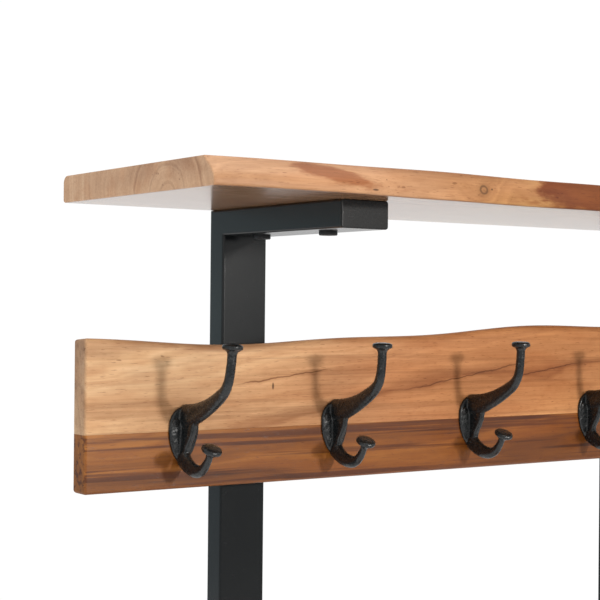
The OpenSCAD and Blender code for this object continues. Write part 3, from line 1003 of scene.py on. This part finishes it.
def hook_places():
    """Each hook's matrix on the board, read from its two screws in the CAD."""
    screws = cluster_centres("hook_screws", 2 * HOOKS, 0, 2, 9 * MM)
    places = []
    for i in range(HOOKS):
        (x1, z1), (x2, z2) = screws[2 * i:2 * i + 2]
        middle = Matrix.Translation(((x1 + x2) / 2, stave_low.y, (z1 + z2) / 2))
        lean = Matrix.Rotation(math.atan2(z1 - z2, x2 - x1), 4, "Y")
        places.append(middle @ lean @ Matrix.Translation((0, 0, -SCREW_RISE * MM)))
    return places


def roughen(mesh):
    """Gives a casting its lumpy skin, and keeps it in front of the board."""
    normals = [vertex.normal.copy() for vertex in mesh.vertices]
    for vertex, normal in zip(mesh.vertices, normals):
        spot = vertex.co / MM
        bumps = 0.16 * noise.noise(spot * 0.22) + 0.10 * noise.noise(spot * 0.55)
        vertex.co += normal * bumps * MM
        vertex.co.y = min(vertex.co.y, stave_low.y)


def make_hooks():
    blank = hook_casting()
    for i, place in enumerate(hook_places(), 1):
        mesh = blank.copy()
        mesh.transform(place)
        home = place.inverted()

        def painted_glint_at(vertex, home=home):
            """Painted highlight mask: strongest where the web meets the plate, and in scattered spots
            elsewhere.
            """
            across = abs((home @ vertex.co).x / MM)
            fillet = 1.0 - min(1.0, abs(across - WEB_FOOT) / 3.5)
            return 0.9 * fillet + noise.noise(vertex.co / MM * 0.12) + 0.35

        roughen(mesh)
        # stores the painted highlight mask that the cast iron finish reads
        mark(mesh, "painted_highlight", painted_glint_at)
        place_piece(f"coat_hook_{i}", mesh, IRON, f"hook_{i}", sharp=180)


def make_hook_screws():
    """Pan head screws with a cross slot, two in each hook plate."""
    bm = bmesh.new()
    slot = cross_slot(0.42 * MM, 2.3 * MM)
    rings = [(slot, 3.9 * MM), (slot, 4.72 * MM)] + millimetres(SCREW_RINGS)
    for place in hook_places():
        for side in (-1, 1):
            seat = place @ Matrix.Translation(Vector((side * SCREW_SIDE, 0, SCREW_RISE)) * MM)
            spin = Matrix.Rotation(0.4 * side + place.translation.x * 9, 4, "Z")
            turned(bm, rings, 48, seat @ LYING @ spin)
    place_piece("hook_screw_set", mesh_from("hook_screw_set", bm), SCREW_BLACK, "hook_screws")


# ---- fasteners and feet ----

BOLT_HEAD = ((2.9, -4.0), (7.5, -4.0), (8.1, -3.8), (8.4, -3.4), (8.5, -2.9), (8.5, -0.5), (8.3, 0.0),
             (3.0, 0.0))
HEAD_HEIGHT = 4 * MM
BOLT_REACH = 24 * MM  # wider than a bolt head, narrower than the gap between two
STUD_RADIUS = 4.0 * MM
THREAD_DEPTH = 0.65 * MM
THREAD_PITCH = 1.25 * MM
STEPS_PER_TURN = 8
PAD_FOOT = ((11.6, 0.0), (12.2, 0.1))
PAD_TOP = ((12.2, 3.1), (10.4, 4.6), (8.5, 6.2), (7.9, 6.8), (7.2, 7.0), (4.4, 7.0), (4.06, 6.7),
           (4.06, 3.0))


def bolt_rings(length):
    """Flat furniture bolt with a hex socket, from the socket's floor to the shank's tip."""
    socket = hexagon(2.0 * MM)
    tip = [(3.0 * MM, length - 1.0 * MM), (2.3 * MM, length)]
    return [(socket, -1.0 * MM), (socket, -3.9 * MM)] + millimetres(BOLT_HEAD) + tip


def make_bolts(name, node, places, length):
    bm = bmesh.new()
    for k, place in enumerate(places):
        turned(bm, bolt_rings(length), 48, place @ Matrix.Rotation(0.35 * k, 4, "Z"))
    place_piece(name, mesh_from(name, bm), BOLT_BLACK, node)


def make_all_bolts():
    for name, node, count in (("shelf_bolt_set", "shelf_bolts", 4), ("seat_bolt_set", "seat_bolts", 6)):
        low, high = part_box(node)
        places = []
        for x, y in cluster_centres(node, count, 0, 1, BOLT_REACH):
            places.append(Matrix.Translation((x, y, low.z + HEAD_HEIGHT)))
        make_bolts(name, node, places, high.z - low.z - HEAD_HEIGHT)
    low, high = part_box("board_bolts")
    places = []
    for x, z in cluster_centres("board_bolts", 4, 0, 2, BOLT_REACH):
        places.append(Matrix.Translation((x, high.y - HEAD_HEIGHT, z)) @ LYING)
    make_bolts("board_bolt_set", "board_bolts", places, high.y - low.y - HEAD_HEIGHT)


def thread(a, height):
    """Radius of a true helical thread at an angle and height."""
    turn = (height / THREAD_PITCH - a / (2 * math.pi)) % 1.0
    return STUD_RADIUS - THREAD_DEPTH * (1 - abs(2 * turn - 1))


def ribbed(radius):
    """Radius of a grip with 30 ribs."""
    return lambda a, _: radius + 0.25 * MM * math.cos(30 * a)


def make_pad(place_name, axis):
    node = "foot_pad_" + place_name
    ribs = [(ribbed(12.6 * MM), 0.6 * MM), (ribbed(12.7 * MM), 2.7 * MM)]
    bm = bmesh.new()
    turned(bm, millimetres(PAD_FOOT) + ribs + millimetres(PAD_TOP), 180, axis)
    place_piece(node + "_moulding", mesh_from(node, bm), PAD_PLASTIC, node, "pad_" + place_name)


def make_stud(place_name, axis):
    """Levelling screw: a foot inside the pad, a hexagon collar and the thread."""
    node = "foot_stud_" + place_name
    low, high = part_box(node)
    collar = hexagon(6.5 * MM)
    rings = [(3.2 * MM, low.z), (3.9 * MM, low.z + 0.7 * MM), (3.9 * MM, 8.4 * MM), (6.1 * MM, 8.5 * MM),
             (collar, 9.0 * MM), (collar, 12.0 * MM), (6.1 * MM, 12.5 * MM), (3.4 * MM, 12.5 * MM)]
    step = THREAD_PITCH / STEPS_PER_TURN
    first, last = 13.0 * MM, high.z - 1.0 * MM
    count = int((last - first) / step)
    rings += [(thread, first + step * k) for k in range(count + 1)]
    rings += [(3.3 * MM, last + 0.3 * MM), (2.6 * MM, high.z)]
    bm = bmesh.new()
    turned(bm, rings, 48, axis)
    place_piece(node + "_screw", mesh_from(node, bm), ZINC, node, "stud_" + place_name)


def make_foot(place_name):
    low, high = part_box("foot_pad_" + place_name)
    axis = Matrix.Translation(((low.x + high.x) / 2, (low.y + high.y) / 2, 0))
    make_pad(place_name, axis)
    make_stud(place_name, axis)


def dress_hidden_inserts():
    """The threaded inserts stay as the CAD made them, in plated metal."""
    for place in ("shelf", "board", "seat", "foot"):
        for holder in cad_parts[place + "_inserts"].material_slots:
            holder.material, _ = ZINC if place == "foot" else BRASS


# ---- the finishes, then the pieces ----

# a palette is latewood, heartwood and pale wood; a finish is a material and its slot
TAN = ((0.22, 0.090, 0.036), (0.50, 0.28, 0.145), (0.68, 0.45, 0.265))
DEEP = ((0.060, 0.015, 0.002), (0.25, 0.080, 0.009), (0.385, 0.145, 0.024))

make_camera()
make_studio()
SHELF_WOOD = wood(
    "shelf_wood", "acacia_shelf", (0.018, shelf_low.z - 5 * MM), (0.02, 0.01), TAN,
    tints=((-0.46, (0.99, 0.99, 1.00)), (-0.25, (1.10, 1.07, 1.06)), (-0.14, (0.94, 0.82, 0.66)),
           (-0.06, (1.10, 1.16, 0.84)), (0.15, (0.98, 0.88, 0.74)), (0.4, (1.0, 0.92, 0.8))), seed=0.0,
    end_tint=(0.90, 1.00, 1.14), contrast=0.8, lines=(0.016, 0.033, 0.060),
    knots=((-0.168, -0.058, shelf_low.z + 12 * MM, 4.5 * MM),),
    blushes=((-0.338, shelf_low.z + 14.5 * MM, 46 * MM, 7.5 * MM, -0.17),
             (-0.02, shelf_low.z + 8 * MM, 90 * MM, 40 * MM, 0.0),
             (-0.025, shelf_low.z + 16 * MM, 75 * MM, 24 * MM, 0.0)),
    nicks=((-0.299, -0.058, shelf_low.z + 4.5 * MM, 4 * MM, 1 * MM),
           (-0.157, -0.058, shelf_low.z + 13 * MM, 1.4 * MM, 1 * MM),
           (-0.284, -0.058, shelf_low.z + 14 * MM, 0.6 * MM, 0.6 * MM)))
LIGHT_WOOD = wood(
    "light_board_wood", "acacia_light", (0.30, 1.60), (-0.03, 0.03), TAN,
    tints=((-0.40, (1.42, 1.56, 1.62)), (-0.25, (1.27, 1.25, 1.18)), (-0.08, (1.14, 0.90, 0.70)),
           (0.10, (1.10, 0.85, 0.60)), (0.40, (1.15, 0.95, 0.75))), seed=3.1,
    gloss=0.30, contrast=0.7, stripes=0.25, end_tint=(0.57, 0.60, 0.66),
    cracks=((-0.10, 0.10, stave_low.z + 46 * MM, 0.16), (-0.30, -0.18, stave_low.z + 49 * MM, 0.12),
            (0.06, 0.17, stave_low.z + 50 * MM, 0.14)),
    nicks=((-0.254, stave_low.y, stave_low.z + 40 * MM, 1.2 * MM, 3.5 * MM),))
DARK_WOOD = wood(
    "dark_board_wood", "acacia_dark", (0.42, 1.50), (0.0, 0.03), DEEP,
    tints=((-0.42, (1.0, 1.0, 1.0)), (0.0, (1.0, 0.95, 0.9)), (0.42, (1.0, 0.95, 0.9))), seed=7.7,
    gloss=0.30, stripes=0.9)
SEAT_LIGHT_WOOD = wood(
    "light_board_wood", "acacia_seat_front", (-0.14, 0.32), (0.03, 0.02), TAN,
    tints=((-0.40, (1.1, 1.0, 0.9)), (0.1, (0.9, 0.8, 0.7)), (0.4, (1.1, 1.05, 1.0))), seed=12.4,
    knots=((0.22, -0.13, 0.457, 5 * MM),))
SEAT_DARK_WOOD = wood(
    "dark_board_wood", "acacia_seat_middle", (-0.02, 0.62), (0.03, -0.02), DEEP,
    tints=((-0.40, (1.0, 1.0, 1.0)), (0.1, (1.1, 1.0, 0.95)), (0.4, (0.95, 0.9, 0.9))),
    seed=15.9, stripes=0.7)
SEAT_REAR_WOOD = wood(
    "light_board_wood", "acacia_seat_rear", (0.12, 0.36), (-0.02, 0.03), TAN,
    tints=((-0.40, (0.95, 0.85, 0.75)), (0.0, (1.1, 1.0, 0.9)), (0.4, (1.0, 0.88, 0.78))), seed=19.3)
STEEL = powder_coat("black_steel_tube", "powder_coat_black", (0.0045, 0.0056, 0.0062), 0.24)
CAP_PLASTIC = moulded_plastic("black_plastic_cap", "cap_plastic", (0.006, 0.006, 0.006), 0.28)
IRON = cast_iron("black_cast_iron", "cast_iron_black")
SCREW_BLACK = metal("black_screws", "screw_black", (0.045, 0.045, 0.045), 0.38, 0.7)
BOLT_BLACK = metal("black_bolts", "bolt_black", (0.030, 0.030, 0.031), 0.42, 0.6)
BRASS = metal("brass_inserts", "brass", (0.66, 0.50, 0.24), 0.30)
ZINC = metal("zinc_steel", "zinc", (0.62, 0.63, 0.64), 0.30)
PAD_PLASTIC = moulded_plastic("foot_pad_plastic", "pad_plastic", (0.030, 0.030, 0.031), 0.55)

make_top_shelf()
make_upper_stave()
make_lower_stave()
make_seat_front()
make_straight_stave("seat_middle", SEAT_DARK_WOOD, last=False)
make_straight_stave("seat_rear", SEAT_REAR_WOOD, last=True)
make_side_frames()
make_hooks()
make_hook_screws()
make_all_bolts()
for foot in ("front_left", "front_right", "rear_left", "rear_right"):
    make_foot(foot)
dress_hidden_inserts()
